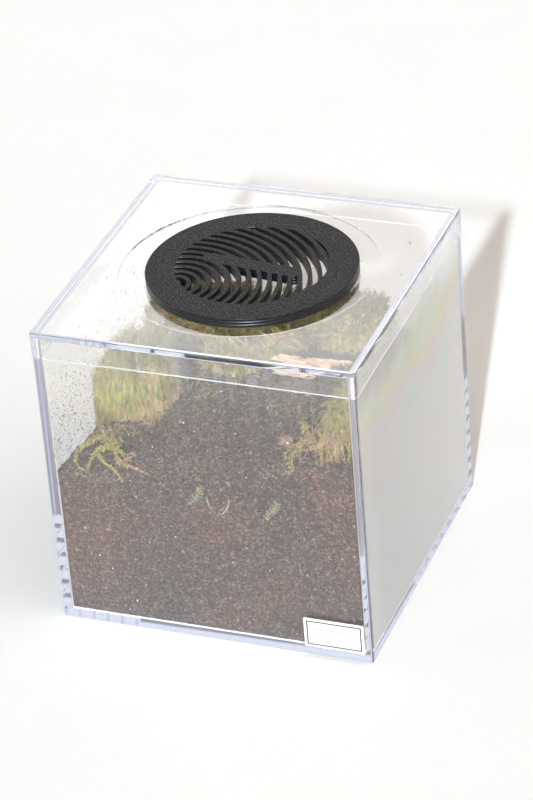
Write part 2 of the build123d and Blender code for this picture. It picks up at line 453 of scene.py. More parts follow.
def soil():
    """Dark crumbly soil: one set of colours on top, another where it is pressed to the walls."""
    material, tree, shader = new_material("soil", 0.95, 0.15)
    patches = noise(tree, 26 * mm, 2.0, 0.5)
    pressed_colours = [(0.38, (0.032, 0.020, 0.018)), (0.5, (0.038, 0.022, 0.019)), (0.64, (0.050, 0.025, 0.017))]
    pressed = ramp(tree, patches, pressed_colours)
    on_top = ramp(tree, patches, [(0.35, (0.05, 0.035, 0.029)), (0.65, (0.068, 0.047, 0.038))])
    body = blend(tree, times(tree, normal_axes(tree)["Z"], 2.0, clamp=True), pressed, on_top)
    lumps = [(0.34, (0.85, 0.84, 0.83)), (0.5, (1, 1, 1)), (0.68, (1.15, 1.13, 1.12))]
    body = blend(tree, 1.0, body, ramp(tree, noise(tree, 1.4 * mm, 5.0, 0.8), lumps), "MULTIPLY")
    grains = [(0.0, (0.2, 0.2, 0.2)), (0.45, (0.7, 0.69, 0.68)), (0.8, (1.4, 1.36, 1.32)), (1.0, (4.6, 4.2, 3.9))]
    body = blend(tree, 1.0, body, ramp(tree, cells(tree, 0.46 * mm), grains), "MULTIPLY")
    bits = maths(tree, "GREATER_THAN", cells(tree, 0.5 * mm), 0.95)
    body = blend(tree, times(tree, bits, 0.6), body, (0.3, 0.23, 0.18))
    tree.links.new(body, shader.inputs["Base Color"])
    bump(tree, shader, noise(tree, 0.5 * mm, 3.0, 0.7), 0.25 * mm, 0.7)
    return material


def mottled(name, size, colours, roughness=0.8, specular=0.2, stretch=(1, 1, 1)):
    """Small pieces in several natural colours, each cell of the given size with its own."""
    material, tree, shader = new_material(name, roughness, specular)
    stops = [(place / (len(colours) - 1), colour) for place, colour in enumerate(colours)]
    body = ramp(tree, cells(tree, size, stretch), stops)
    shades = [(0.25, (0.7, 0.7, 0.7)), (0.75, (1.2, 1.2, 1.2))]
    shade = ramp(tree, noise(tree, size * 0.7, 3.0, 0.6, stretch), shades)
    tree.links.new(blend(tree, 1.0, body, shade, "MULTIPLY"), shader.inputs["Base Color"])
    bump(tree, shader, noise(tree, size * 0.3), 0.05 * mm, 0.5)
    return material


clear = plastic("clear_plastic", 0.0)
clear_lid = plastic("clear_lid_plastic", 0.14)
film = haze("wall_haze", 0.012, 0.3, (0.95, 0.94, 0.91))
# The right wall's film: dust haze whose colour holds painted light, paler high up and at the back, with a painted band
# of the soil and moss colours behind it.
side_film_and_painted_light = haze("side_haze_and_painted_light", 0.03, 2.8, thin_above=(82 * mm, 98 * mm))
lid_film = haze("lid_haze", 0.07, 0.25, (0.95, 0.95, 0.94))
front_streaks = streaks("front_streaks", (1, 1, 0.05), 72 * mm, 92 * mm, "Z", 0.1, 0.09)
lid_streaks = streaks("lid_streaks", (1, 0.08, 1), -10 * mm, -36 * mm, "Y", 0.2, 0.04)
black = printed()
white_paper = paper()
black_ink = ink()
earth = soil()
fibre_colours = mottled("soil_fibres", 0.6 * mm, [
    (0.075, 0.058, 0.052), (0.13, 0.105, 0.097), (0.34, 0.3, 0.275), (0.1, 0.075, 0.063), (0.2, 0.17, 0.16),
])
crumb_colours = mottled("soil_crumbs", 0.7 * mm, [
    (0.04, 0.028, 0.023), (0.06, 0.042, 0.034), (0.08, 0.056, 0.045), (0.052, 0.039, 0.033),
])
bark_colours = mottled("bark_bits", 0.7 * mm, [(0.25, 0.14, 0.08), (0.33, 0.21, 0.12), (0.18, 0.1, 0.06)])
grit_colours = mottled("white_grit", 1.5 * mm, [(0.75, 0.74, 0.7), (0.85, 0.84, 0.8)])
speck_colours = mottled("wall_specks", 1.2 * mm, [(0.02, 0.013, 0.01), (0.06, 0.036, 0.028), (0.03, 0.02, 0.018)])
hanging_down = (1, 1, 0.22)
moss_green = mottled("moss", 0.75 * mm, [
    (0.04, 0.05, 0.01), (0.32, 0.27, 0.045), (0.11, 0.145, 0.022), (0.5, 0.39, 0.1),
    (0.055, 0.09, 0.018), (0.38, 0.18, 0.06), (0.2, 0.22, 0.035),
], 0.6, 0.35, hanging_down)
moss_dry = mottled("moss_dry", 0.9 * mm, [
    (0.4, 0.23, 0.13), (0.22, 0.12, 0.075), (0.55, 0.36, 0.22), (0.12, 0.065, 0.045), (0.36, 0.28, 0.1),
], 0.7, stretch=hanging_down)
moss_stems = mottled("moss_stems", 0.6 * mm, [
    (0.1, 0.085, 0.02), (0.36, 0.29, 0.07), (0.19, 0.19, 0.045), (0.46, 0.37, 0.11), (0.25, 0.15, 0.06),
], 0.7)
moss_mat = mottled("moss_mat", 1.6 * mm, [
    (0.08, 0.08, 0.018), (0.32, 0.25, 0.045), (0.32, 0.14, 0.05), (0.42, 0.33, 0.08), (0.11, 0.14, 0.02),
])
peach = mottled("dead_leaf", 0.9 * mm, [
    (0.7, 0.42, 0.26), (0.9, 0.68, 0.5), (0.5, 0.27, 0.15), (0.82, 0.55, 0.38),
], 0.6, stretch=(0.25, 1, 1))
red_brown = mottled("leaf_scrap", 1.0 * mm, [(0.2, 0.12, 0.09), (0.27, 0.16, 0.12), (0.13, 0.08, 0.06)], 0.7)
green = mottled("green_leaf", 0.9 * mm, [
    (0.14, 0.17, 0.09), (0.19, 0.22, 0.11), (0.25, 0.27, 0.14), (0.12, 0.13, 0.08),
], 0.5)
pale_root = mottled("root", 1.5 * mm, [(0.3, 0.22, 0.16), (0.4, 0.32, 0.25)])

for name, material in (("clear_box", clear), ("lid", clear_lid), ("vent_grille", black), ("label", white_paper)):
    mesh = nodes[name].data
    mesh.materials.clear()
    mesh.materials.append(material)


AIR_GAP = 0.06 * mm
FLANGE_FACE = lid_high.z - 0.5 * mm  # the vent's flange rests here, in the lid's recess
PRINT_DEPTH = 0.02 * mm


def eased(name, node_name, height, body):
    """A copy of a CAD part with the face that rests at one height raised a hair, so air stays under it."""
    mesh = nodes[node_name].data.copy()
    turned = nodes[node_name].matrix_world
    back = turned.inverted()
    for vertex in mesh.vertices:
        place = turned @ vertex.co
        if abs(place.z - height) < 0.01 * mm:
            vertex.co = back @ (place + Vector((0, 0, AIR_GAP)))
    made = bpy.data.objects.new(name, mesh)
    made.matrix_world = turned
    scene.collection.objects.link(made)
    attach(made, body)
    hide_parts(node_name)


eased("lid_clear", "lid", lid_low.z, "lid")
eased("vent_print", "vent_grille", FLANGE_FACE, "vent")

# -------- label print

def rectangle(margin_x, low_z, high_z, y=label_low.y - PRINT_DEPTH):
    """Corners in the label's plane, as far in from its left edge as from its right one."""
    left, right = label_low.x + margin_x, label_high.x - margin_x
    return [(left, y, low_z), (right, y, low_z), (right, y, high_z), (left, y, high_z)]


inset, line = 0.85 * mm, 0.42 * mm
ring = []
for margin in (inset, inset + line):
    ring += rectangle(margin, label_low.z + margin, label_high.z - margin)
forms = [(np.array(ring), np.array([(i, (i + 1) % 4, 4 + (i + 1) % 4, 4 + i) for i in range(4)]))]
for share in (0.36, 0.64):
    z = label_low.z + share * (label_high.z - label_low.z)
    forms.append((np.array(rectangle(2.4 * mm, z, z + 0.16 * mm)), np.array([(0, 1, 2, 3)])))
points, faces = together(forms)
label_print = piece("label_print", points, faces, black_ink, "box", smooth=False)
thick = label_print.modifiers.new("thickness", "SOLIDIFY")
thick.thickness = PRINT_DEPTH
thick.offset = 1

# -------- soil

SOIL_VOXEL = 0.7 * mm
POCKET_MARGIN = 1.5 * mm
LONG_SHARE = 0.03  # of the fibres at the walls
rng = np.random.default_rng(7)
points, soil_faces, soil_normals = skin("substrate", SOIL_VOXEL)
soil_points = points.copy()
side = np.abs(soil_normals[:, :2]).max(1)
upward = np.clip(soil_normals[:, 2], 0, 1)[:, None]
lift = 0.35 * grain(points, 2.6 * mm, 1) + 0.25 * grain(points, 1.1 * mm, 2) + 0.9 * grain(points, 7 * mm, 3)
points = points + soil_normals * upward * lift[:, None] * mm
sunk = np.clip(0.1 * grain(points, 1.6 * mm, 4) + 0.1 * grain(points, 0.8 * mm, 5) - 0.05, -0.1, 0.3)
points = within(points - soil_normals * np.where(side > 0.8, sunk, 0)[:, None] * mm)

# The CAD soil's pockets behind the pieces set into it are filled nearly flush
for name in ("sprig_left", "sprig_middle", "root_fibre"):
    low, high = (np.array(corner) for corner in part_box(name))
    low, high = low - POCKET_MARGIN, high + POCKET_MARGIN
    high[1] += POCKET_MARGIN
    pocket = ((points > low) & (points < high)).all(1) & (points[:, 1] > -contact + 0.3 * mm)
    points[pocket, 1] = -contact + (0.4 + 0.08 * grain(points[pocket], 1.5 * mm, 6)) * mm
ground = piece("soil_bed", points, soil_faces, earth, "box")
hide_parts("substrate")


def tube(path, radius, sides=3):
    """A thin closed tube along an array of points, drawn out to a point at both ends."""
    along = unit(np.gradient(path, axis=0))
    helper = np.array([0.3, 0.5, 0.81])
    across = unit(np.cross(along, helper))
    upward = np.cross(along, across)
    taper = np.sin(np.linspace(0.12, np.pi - 0.12, len(path))) ** 0.5 * radius
    angles = np.arange(sides) * tau / sides
    rings = path[:, None] + taper[:, None, None] * (
        np.cos(angles)[None, :, None] * across[:, None] + np.sin(angles)[None, :, None] * upward[:, None]
    )
    points = rings.reshape(-1, 3)
    faces = []
    for ring in range(len(path) - 1):
        for a in range(sides):
            b = (a + 1) % sides
            faces.append((ring * sides + a, ring * sides + b, (ring + 1) * sides + b))
            faces.append((ring * sides + a, (ring + 1) * sides + b, (ring + 1) * sides + a))
    last = (len(path) - 1) * sides
    for a in range(1, sides - 1):
        faces.append((0, a + 1, a))
        faces.append((last, last + a, last + a + 1))
    return points, np.array(faces)


def wisp(place, facing, length, radius, rng, curl=1.0, steps=6):
    """A fine fibre that lies in the surface at a place and curls within it."""
    first = unit(np.cross(facing, rng.normal(size=3)))
    second = np.cross(facing, first)
    turn = rng.normal() * curl
    angles = turn * np.linspace(-0.5, 0.5, steps)
    stepped = np.cos(angles)[:, None] * first + np.sin(angles)[:, None] * second
    path = place + np.cumsum(stepped, axis=0) * length / steps
    path += facing * (rng.normal(size=(steps, 1)) * 0.04 * mm)
    return tube(path, radius)


def stone(place, size, rng):
    """A small irregular lump."""
    shape = STONES[rng.integers(len(STONES))] * rng.uniform(0.6, 1.3, 3)
    turn, _ = np.linalg.qr(rng.normal(size=(3, 3)))
    return place + shape @ turn * size / 2, STONE_FACES


def make_stones():
    """A few lumpy shapes from a once-divided icosahedron."""
    bm = bmesh.new()
    bmesh.ops.create_icosphere(bm, subdivisions=2, radius=1)
    base = np.array([v.co[:] for v in bm.verts])
    faces = np.array([[v.index for v in f.verts] for f in bm.faces])
    bm.free()
    shapes = [base * (1 + 0.28 * grain(base + 7.3 * k, 0.9, 20 + k))[:, None] for k in range(6)]
    return shapes, faces


STONES, STONE_FACES = make_stones()


def side_places(axis, sign, count, rng):
    """Random places on one pressed side of the soil, under its top line."""

    def wanted(c, n):
        return (n[:, axis] * sign > 0.85) * (c[:, axis] * sign > soil_high.x - 1.2 * mm) * 1.0

    return scatter(soil_points, soil_faces, soil_normals, count, rng, wanted)


def top_places(count, rng, flattest):
    """Random places on the soil's top, with their normals."""
    return scatter(soil_points, soil_faces, soil_normals, count, rng, lambda c, n: (n[:, 2] > flattest) * 1.0)


def walls(front, left, right, back):
    """The axis and sign of each wall, with the number of pieces for it."""
    return (1, -1, front), (0, -1, left), (0, 1, right), (1, 1, back)


# Fibres pressed against each wall, and loose ones on top
forms = []
for axis, sign, count in walls(7500, 1200, 1200, 1200):
    places, _ = side_places(axis, sign, count, rng)
    flat = np.zeros(3)
    flat[axis] = sign
    places[:, axis] = sign * contact
    for place in places:
        long = rng.random() < LONG_SHARE
        length = rng.gamma(2.5, 1.0 if long else 0.26)
        forms.append(wisp(place, flat, length * mm, rng.uniform(0.03, 0.07) * mm, rng, 0.8 + long, 4))
for place, up in zip(*top_places(2200, rng, 0.6)):
    length = rng.gamma(3.0, 0.6) * mm
    facing = unit(up + rng.normal(size=3) * 0.35)
    forms.append(wisp(place + up * 0.6 * mm, facing, length, rng.uniform(0.05, 0.11) * mm, rng, 1.4, 4))
loose("soil_fibres", forms, fibre_colours, contact + 0.08 * mm)

# Crumbs over the top of the soil
forms = []
for place, up in zip(*top_places(3000, rng, 0.5)):
    size = rng.gamma(4.0, 0.125) * mm
    forms.append(stone(place + up * 0.5 * mm, size, rng))
loose("soil_crumbs", forms, crumb_colours)

# Bark bits and white grit, pressed to the walls and on top
bark, grit = [], []
for axis, sign, count in walls(56, 25, 25, 20):
    places, _ = side_places(axis, sign, count, rng)
    places[:, axis] = sign * (contact - 0.1 * mm)
    for k, place in enumerate(places):
        if k % 2:
            bark.append(stone(place, rng.gamma(4.0, 0.2) * mm, rng))
        else:
            grit.append(stone(place, rng.uniform(0.22, 0.5) * mm, rng))
for k, (place, up) in enumerate(zip(*top_places(90, rng, 0.6))):
    target, largest = (bark, 1.1) if k % 3 else (grit, 0.55)
    target.append(stone(place + up * 0.8 * mm, rng.uniform(0.3, largest) * mm, rng))
loose("bark_bits", bark, bark_colours)
loose("white_grit", grit, grit_colours)

# -------- moss

MOSS_VOXEL = 0.9 * mm
LEAF_ANGLE = 0.6  # radians between a shoot's stem and its leaves


def frond_shape(leaflets, seed):
    """A flat feathery shoot of unit length along Y: a stem and pairs of pointed leaves that shorten to the tip."""
    rng = np.random.default_rng(seed)
    points, faces = [], []
    stem = np.linspace(0, 1, 7)
    for y in stem:
        width = 0.013 * (1.15 - y)
        points += [(-width, y, 0.0), (width, y, 0.0), (0.0, y, width)]
    for k in range(len(stem) - 1):
        for a, b in ((0, 1), (1, 2), (2, 0)):
            faces.append((3 * k + a, 3 * k + b, 3 * k + 3 + b))
            faces.append((3 * k + a, 3 * k + 3 + b, 3 * k + 3 + a))
    for k in range(leaflets):
        y = 0.05 + 0.93 * k / leaflets
        reach = (0.085 * np.sin(np.pi * (0.15 + 0.8 * y)) + 0.025) * rng.uniform(0.7, 1.3)
        for side in (-1, 1):
            out = np.array([side * np.sin(LEAF_ANGLE), np.cos(LEAF_ANGLE), rng.uniform(-0.35, 0.5)])
            wide = np.array([-out[1] * side, out[0] * side, 0.0]) * reach * 0.2
            root = np.array([0, y, 0.004])
            middle = root + out * reach * 0.45
            start = len(points)
            points += [tuple(root), tuple(middle + wide), tuple(root + out * reach), tuple(middle - wide)]
            faces += [(start, start + 1, start + 2), (start, start + 2, start + 3)]
    return np.array(points), np.array(faces)


FRONDS = [frond_shape(15, 40 + k) for k in range(4)]


def frond(place, heading, upward, length, bend, rng, slim=1.0):
    """A shoot from a place along a heading, curving towards the side away from upward."""
    shape, faces = FRONDS[rng.integers(len(FRONDS))]
    angle = bend * shape[:, 1]
    y = np.sin(angle) / bend + shape[:, 2] * np.sin(angle)
    z = (np.cos(angle) - 1) / bend + shape[:, 2] * np.cos(angle)
    heading = unit(heading)
    across = unit(np.cross(heading, upward))
    normal = np.cross(across, heading)
    wide = rng.uniform(0.8, 1.3) * slim
    return place + length * (shape[:, :1] * wide * across + y[:, None] * heading + z[:, None] * normal), faces


def moss(name, shoots, length, lift, droop, rng, hang=0.0, dry_below=(0.1, 0.0), dry_share=0.6, slim=1.0):
    """A clump in the CAD clump's place: a mat with many feathery shoots, dry ones towards its foot.

    dry_below is the height under which shoots may be dry, and how much it climbs for each metre to the right.
    """
    points, faces, normals = skin(name, MOSS_VOXEL)
    bumps = 0.5 * grain(points, 2.4 * mm, 11) + 0.3 * grain(points, 1.2 * mm, 12)
    base = within(points + normals * bumps[:, None] * mm)

    def wanted(c, n):
        at_wall = np.abs(c[:, :2]).max(1) >= contact - 0.5 * mm
        return np.where(at_wall, 0.25 * (n[:, 2] > -0.6), 1.0 * (n[:, 2] > -0.25))

    fresh, dry = [], []
    up = np.array([0, 0, 1.0])
    for place, out in zip(*scatter(points, faces, normals, shoots, rng, wanted)):
        tangent = unit(np.cross(out, rng.normal(size=3)))
        downhill = unit(out - up * out[2] + rng.normal(size=3) * 0.15)
        steep = 1 - max(out[2], 0) ** 2
        falls = steep * min(hang, 1)
        heading = tangent * (0.75 - 0.5 * falls) + out * lift + downhill * droop - up * hang * steep
        heading = heading + rng.normal(size=3) * 0.15 + out * 0.25 * falls
        size = rng.uniform(0.65, 1.25) * length
        bend = rng.uniform(0.4, 1.4) * (1 - falls) + rng.uniform(0.1, 0.5) * falls
        form = frond(place - out * (0.6 - 0.4 * falls) * mm, heading, out, size, bend, rng, slim)
        low = place[2] < dry_below[0] + dry_below[1] * place[0]
        is_dry = low and rng.random() < dry_share or rng.random() < 0.06
        (dry if is_dry else fresh).append(form)
    made = piece(name + "_mat", base, halved(faces), moss_mat, "box")
    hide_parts(name)
    loose(name + "_shoots", fresh, moss_green, smooth=False)
    loose(name + "_dry", dry, moss_dry, smooth=False)


def curve_through(places, steps):
    """A smooth path, in metres, through places given in millimetres."""
    places = np.array([places[0]] + list(places) + [places[-1]], float) * mm
    out = []
    for a, b, c, d in zip(places, places[1:], places[2:], places[3:]):
        for t in np.arange(steps) / steps:
            bent = (2 * a - 5 * b + 4 * c - d) * t**2 + (3 * b - a - 3 * c + d) * t**3
            out.append(0.5 * (2 * b + (c - a) * t + bent))
    return np.array(out + [places[-2]])


def vine(places, leaf, rng, radius=0.1, spacing=0.42, wander=0.4):
    """A trailing moss stem along a path, thick with small pointed leaves. Lengths are in millimetres."""
    path = curve_through(places, 8)
    path = path + rng.normal(size=3) * wander * mm
    forms = [tube(path, radius * mm, 4)]
    reach = np.concatenate([[0], np.cumsum(np.linalg.norm(np.diff(path, axis=0), axis=1))])
    count = max(int(reach[-1] / (spacing * mm)), 2)
    for k in range(count):
        s = reach[-1] * (k + rng.random()) / count
        root, ahead = (np.array([np.interp(t, reach, path[:, i]) for i in range(3)]) for t in (s, s + 0.3 * mm))
        along = unit(ahead - root + 1e-7)
        taper = 1.1 - 0.6 * s / reach[-1]
        for _ in range(2):
            side = unit(np.cross(along, rng.normal(size=3)))
            out = unit(along * rng.uniform(0.3, 0.9) + side * 0.8)
            over = np.cross(out, unit(rng.normal(size=3))) * 0.2
            size = leaf * taper * rng.uniform(0.6, 1.2) * mm
            shape = np.array([0 * out, out * 0.45 + over, out, out * 0.45 - over]) * size + root
            forms.append((shape, np.array([(0, 1, 2), (0, 2, 3)])))
    return forms


def trailing(node_name, stems, leaf, rng):
    """Thin arching moss stems, each drawn twice, that stand for a CAD clump. A stem is dry where its mark is True."""
    fresh, dry = [], []
    for is_dry, places in stems:
        for _ in range(2):
            (dry if is_dry else fresh).extend(vine(places, leaf, rng))
    made = loose(node_name + "_stems", fresh, moss_stems, smooth=False)
    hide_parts(node_name)
    loose(node_name + "_dry_stems", dry, moss_dry, smooth=False)


rng = np.random.default_rng(21)
moss("moss_left_mound", 4800, 7.0 * mm, 0.5, 0.3, rng, 1.9, (85.5 * mm, 0.68), 0.8, 0.5)
moss("moss_back_left", 1100, 7.0 * mm, 0.6, 0.1, rng, dry_share=0.5)
moss("moss_back_middle", 1500, 7.0 * mm, 0.6, 0.1, rng, dry_share=0.15)
moss("moss_back_right", 1400, 7.0 * mm, 0.6, 0.1, rng, dry_share=0.2)
moss("moss_right_wall", 2200, 6.0 * mm, 0.3, 0.4, rng, 1.4, (74 * mm, 0.0), 0.6, 0.6)
trailing("moss_left_tuft", [
    (False, [
        (-33, -30, 55), (-37, -34, 58), (-40.3, -38.7, 59), (-42, -44.3, 58.5), (-41.8, -46.8, 56), (-39, -47, 53.5),
    ]),
    (False, [(-33, -31, 55), (-36.3, -37.6, 57), (-37.5, -42, 57.5), (-38, -45, 56), (-38.5, -46.5, 53.5)]),
    (False, [
        (-34, -33, 56), (-36.2, -41, 57.5), (-34, -45, 57), (-30, -46.5, 56), (-27.5, -47, 53.5), (-26.5, -47.4, 51.5),
    ]),
    (False, [(-33, -33, 56), (-35, -36, 58), (-31.7, -40, 57.6), (-30.5, -42.5, 55)]),
    (False, [(-33, -34, 56), (-33, -38, 58), (-29, -40, 57.5), (-26.5, -42, 56)]),
    (True, [(-30, -40, 55.5), (-28.9, -44, 57), (-24.8, -44.5, 56.5), (-19.6, -44.8, 55)]),
    (True, [(-27, -38, 55.5), (-26.6, -39, 57.3), (-27, -42.5, 57.3), (-28, -44, 55.5)]),
    (True, [(-43.3, -15.9, 55), (-44, -20, 55.5), (-43, -25, 56), (-39, -29, 56.5), (-34, -31, 56)]),
    (True, [(-41, -17, 55), (-41, -22, 56), (-38, -27, 56.5), (-35, -32, 56.5)]),
], 1.6, rng)
trailing("moss_right_trail", [
    (False, [
        (25.5, -29, 68.5), (27, -32, 70), (28.5, -36, 70), (28.7, -39, 69), (26.4, -41, 67.5),
        (25.5, -44, 66.5), (27.8, -46.8, 65.5), (28.6, -47.3, 63), (27.5, -47.4, 60.5),
    ]),
    (False, [(28.7, -38.7, 69), (27.5, -42, 68), (27.8, -45.5, 66.5)]),
    (True, [(31, -36, 71), (30, -40, 70), (29, -43, 69), (30.5, -46, 68.5)]),
    (True, [(44, -44, 77), (40, -46.4, 76), (36, -47, 74), (32.7, -47.2, 71.5)]),
], 1.5, rng)

# Fallen scraps on the soil: the middle of each patch and its spread, in millimetres, and their number
scraps = ([], [])
for x, y, spread, count in (
    (-39, -23, 4.5, 260),
    (-30, -16, 6.0, 150),
    (-21, -6, 6.5, 150),
    (-10, -2, 8.0, 60),
    (33, -36, 5.0, 90),
    (22, -20, 6.0, 25),
):
    def near(c, n):
        away = (c[:, 0] - x * mm) ** 2 + 2 * (c[:, 1] - y * mm) ** 2
        return (n[:, 2] > 0.4) * np.exp(-away / (spread * mm) ** 2)

    places, facing = scatter(soil_points, soil_faces, soil_normals, count, rng, near)
    for k, (place, out) in enumerate(zip(places, facing)):
        heading = unit(np.cross(out, rng.normal(size=3))) + out * 0.3 - np.array([0, 0.7, 0])
        scraps[k % 2].append(frond(place, heading, out, rng.uniform(2.5, 5.0) * mm, 0.9, rng, 0.7))
loose("moss_scraps", scraps[0], moss_stems, smooth=False)
loose("moss_scraps_dry", scraps[1], moss_dry, smooth=False)

# Shoots that hang down the front wall at the right
hanging = ([], [])
for k in range(34):
    x = rng.uniform(37, 47)
    top = rng.uniform(74, 79)
    fall = rng.uniform(6, 17) * (0.55 + 0.45 * (x > 41))
    bow = rng.normal(0, 1.2)
    way = [(x, -43, top), (x, -46.4, top - 1), (x + bow, -47.2, top - fall / 2), (x + bow / 2, -47.3, top - fall)]
    hanging[k % 2].extend(vine(way, 1.0, rng))
loose("moss_front_hanging", hanging[0], moss_green, smooth=False)
loose("moss_front_dry", hanging[1], moss_dry, smooth=False)

# -------- leaves, sprigs and root

def crumpled_leaf(name, node_name, bits, rng, material):
    """Torn, curled pieces of a dead leaf over the CAD leaf's place; one bit is the whole leaf."""
    low, high = (np.array(corner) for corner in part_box(node_name))
    middle, size = (low + high) / 2, high - low
    rows, columns = 22, 12
    u, v = np.meshgrid(np.linspace(-1, 1, rows), np.linspace(-1, 1, columns), indexing="ij")
    torn = bits > 1
    forms = []
    for k in range(bits):
        width = np.sqrt(np.clip(1 - np.abs(u) ** 2.4, 0, 1)) * (0.8 + 0.2 * np.sin(5 * u + k))
        spots = np.stack([u.ravel() * 3, v.ravel() * 2, u.ravel() * 0 + k], 1)
        ragged = 1 + 0.3 * grain(spots, 0.6, 60 + k).reshape(u.shape)
        flat = np.stack([u * ragged, v * width * ragged, u * 0], -1).reshape(-1, 3)
        length = size[0] * (0.1 + 0.1 * rng.random() if torn else 0.4)
        breadth = size[1] * (0.035 + 0.06 * rng.random() if torn else 0.36)
        flat *= np.array([length, breadth, 1.0])
        veins = 0.25 * mm * np.abs(np.sin(u.ravel() * 9 + np.abs(v.ravel()) * 5))
        flat[:, 2] = 1.5 * mm * v.ravel() ** 2 + 0.5 * mm * grain(flat, 3 * mm, 70 + k) + veins
        turn = rng.uniform(-0.35, 0.35) + 0.3
        c, s = np.cos(turn), np.sin(turn)
        flat = flat @ np.array([[c, s, 0], [-s, c, 0], [0, 0, 1.0]])
        offset = rng.uniform(-1, 1, 3) * np.array([0.36, 0.28, 0.0]) * size * torn
        centre = np.array([middle[0], middle[1], high[2] - 0.7 * size[2] + 0.25 * mm * k]) + offset
        flat[:, 2] -= 0.12 * flat[:, 0]
        forms.append((centre + flat, strip_faces(rows, columns)))
    points, faces = together(forms)
    made = piece(name, points, faces, material, "box")
    thick = made.modifiers.new("thickness", "SOLIDIFY")
    thick.thickness = 0.18 * mm
    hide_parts(node_name)


rng = np.random.default_rng(33)
crumpled_leaf("dry_leaf_torn", "dry_leaf", 11, rng, peach)
crumpled_leaf("leaf_scrap_torn", "leaf_scrap", 1, rng, red_brown)


def sprig(name, node_name, leaflets):
    """A small fern-like shoot pressed flat to the glass: a curved stem with pairs of cupped leaves."""
    low, high = (np.array(corner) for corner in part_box(node_name))
    middle, size = (low + high) / 2, high - low
    share = np.linspace(-1, 1, 12)
    x = middle[0] + size[0] * 0.33 * share + 0.5 * mm * np.cos(share * 1.5)
    path = np.stack([x, np.full(12, -contact + 0.25 * mm), middle[2] + size[2] * 0.42 * share], 1)
    forms = [tube(path, 0.22 * mm, 5)]
    along = unit(path[-1] - path[0])
    across = np.array([along[2], 0, -along[0]])
    for k in range(leaflets):
        t = -0.9 + 1.8 * k / (leaflets - 1)
        root = np.array([np.interp(t, share, path[:, i]) for i in range(3)])
        for side in (-1, 1):
            reach = 1.75 * mm * (1.05 - 0.35 * abs(t)) * rng.uniform(0.7, 1.1)
            out = unit(along * rng.uniform(0.3, 0.7) + across * side)
            over = np.array([out[2], 0, -out[0]]) * 0.3 * mm
            cup = np.array([0, 0.12 * mm, 0])
            shape = [
                root + out * reach * s + over * e * w + cup * abs(e) * w
                for s, w in ((0, 0.1), (0.25, 0.75), (0.55, 1.0), (0.85, 0.6), (1.0, 0.05))
                for e in (-1, 0, 1)
            ]
            forms.append((np.array(shape), halved(strip_faces(5, 3))))
    points, faces = together(forms)
    made = piece(name, points, faces, green, "box")
    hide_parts(node_name)


sprig("sprig_left_leaves", "sprig_left", 7)
sprig("sprig_middle_leaves", "sprig_middle", 8)

low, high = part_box("root_fibre")
share = np.linspace(0, 1, 14)
forms = []
for start, end, bow, radius in (
    ((low.x + 0.4 * mm, low.z + 0.3 * mm), (high.x - 0.4 * mm, high.z - 0.3 * mm), 0.9 * mm, 0.26 * mm),
    ((low.x - 1.4 * mm, low.z + 0.6 * mm), (low.x - 3.6 * mm, high.z - 0.4 * mm), -0.7 * mm, 0.2 * mm),
):
    x = start[0] + (end[0] - start[0]) * share + bow * np.sin(np.pi * share)
    z = start[1] + (end[1] - start[1]) * share
    forms.append(tube(np.stack([x, np.full(14, -contact + 0.2 * mm), z], 1), radius, 6))
points, faces = together(forms)
root = piece("root_fibre_pair", points, faces, pale_root, "box")
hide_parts("root_fibre")

# -------- specks and haze on the clear walls, with painted light in the colour of the right wall's haze

FLAKE_CORNERS = 6
FLAKE_HEIGHT = 0.14 * mm


def flake(place, facing, size, rng):
    """A thin irregular speck that lies on a wall."""
    first = unit(np.cross(facing, rng.normal(size=3)))
    second = np.cross(facing, first)
    angle = np.arange(FLAKE_CORNERS) * tau / FLAKE_CORNERS
    reach = rng.uniform(0.35, 1.0, FLAKE_CORNERS) * size / 2
    slim = rng.uniform(0.25, 1.0)
    rim = place + (np.cos(angle) * reach)[:, None] * first + (np.sin(angle) * reach * slim)[:, None] * second
    points = np.concatenate([rim, [place + facing * FLAKE_HEIGHT], [place - facing * 0.01 * mm]])
    ahead = [(i, (i + 1) % FLAKE_CORNERS) for i in range(FLAKE_CORNERS)]
    faces = [(i, j, FLAKE_CORNERS) for i, j in ahead] + [(j, i, FLAKE_CORNERS + 1) for i, j in ahead]
    return points, np.array(faces)


def speckle(count, spot, facing, shape, scale):
    """Flakes at random spots, with sizes from a gamma distribution in millimetres."""
    return [flake(np.array(spot()), np.array(facing), rng.gamma(shape, scale) * mm, rng) for _ in range(count)]


def left_spot():
    y = -inside + rng.beta(1.0, 1.5) * 1.9 * inside
    return -inside, y, (52 + 5 * (y / inside)) * mm + rng.beta(1.0, 2.1) * 42 * mm


def high_left_spot():
    return -inside, rng.uniform(-10 * mm, inside), rng.uniform(72, 98) * mm


def back_spot():
    return rng.uniform(-inside, inside * 0.8), inside, 62 * mm + rng.beta(1.1, 1.8) * 32 * mm


def right_spot():
    return inside, rng.uniform(-inside, inside), rng.uniform(10, 90) * mm


rng = np.random.default_rng(5)
inside = inner_wall - 0.02 * mm
forms = speckle(4200, left_spot, (1.0, 0, 0), 2.2, 0.18) + speckle(500, high_left_spot, (1.0, 0, 0), 2.2, 0.17)
forms += speckle(160, back_spot, (0, -1.0, 0), 2.0, 0.18) + speckle(60, right_spot, (-1.0, 0, 0), 2.0, 0.16)
points, faces = together(forms)
piece("wall_specks", points, faces, speck_colours, "box", smooth=False)

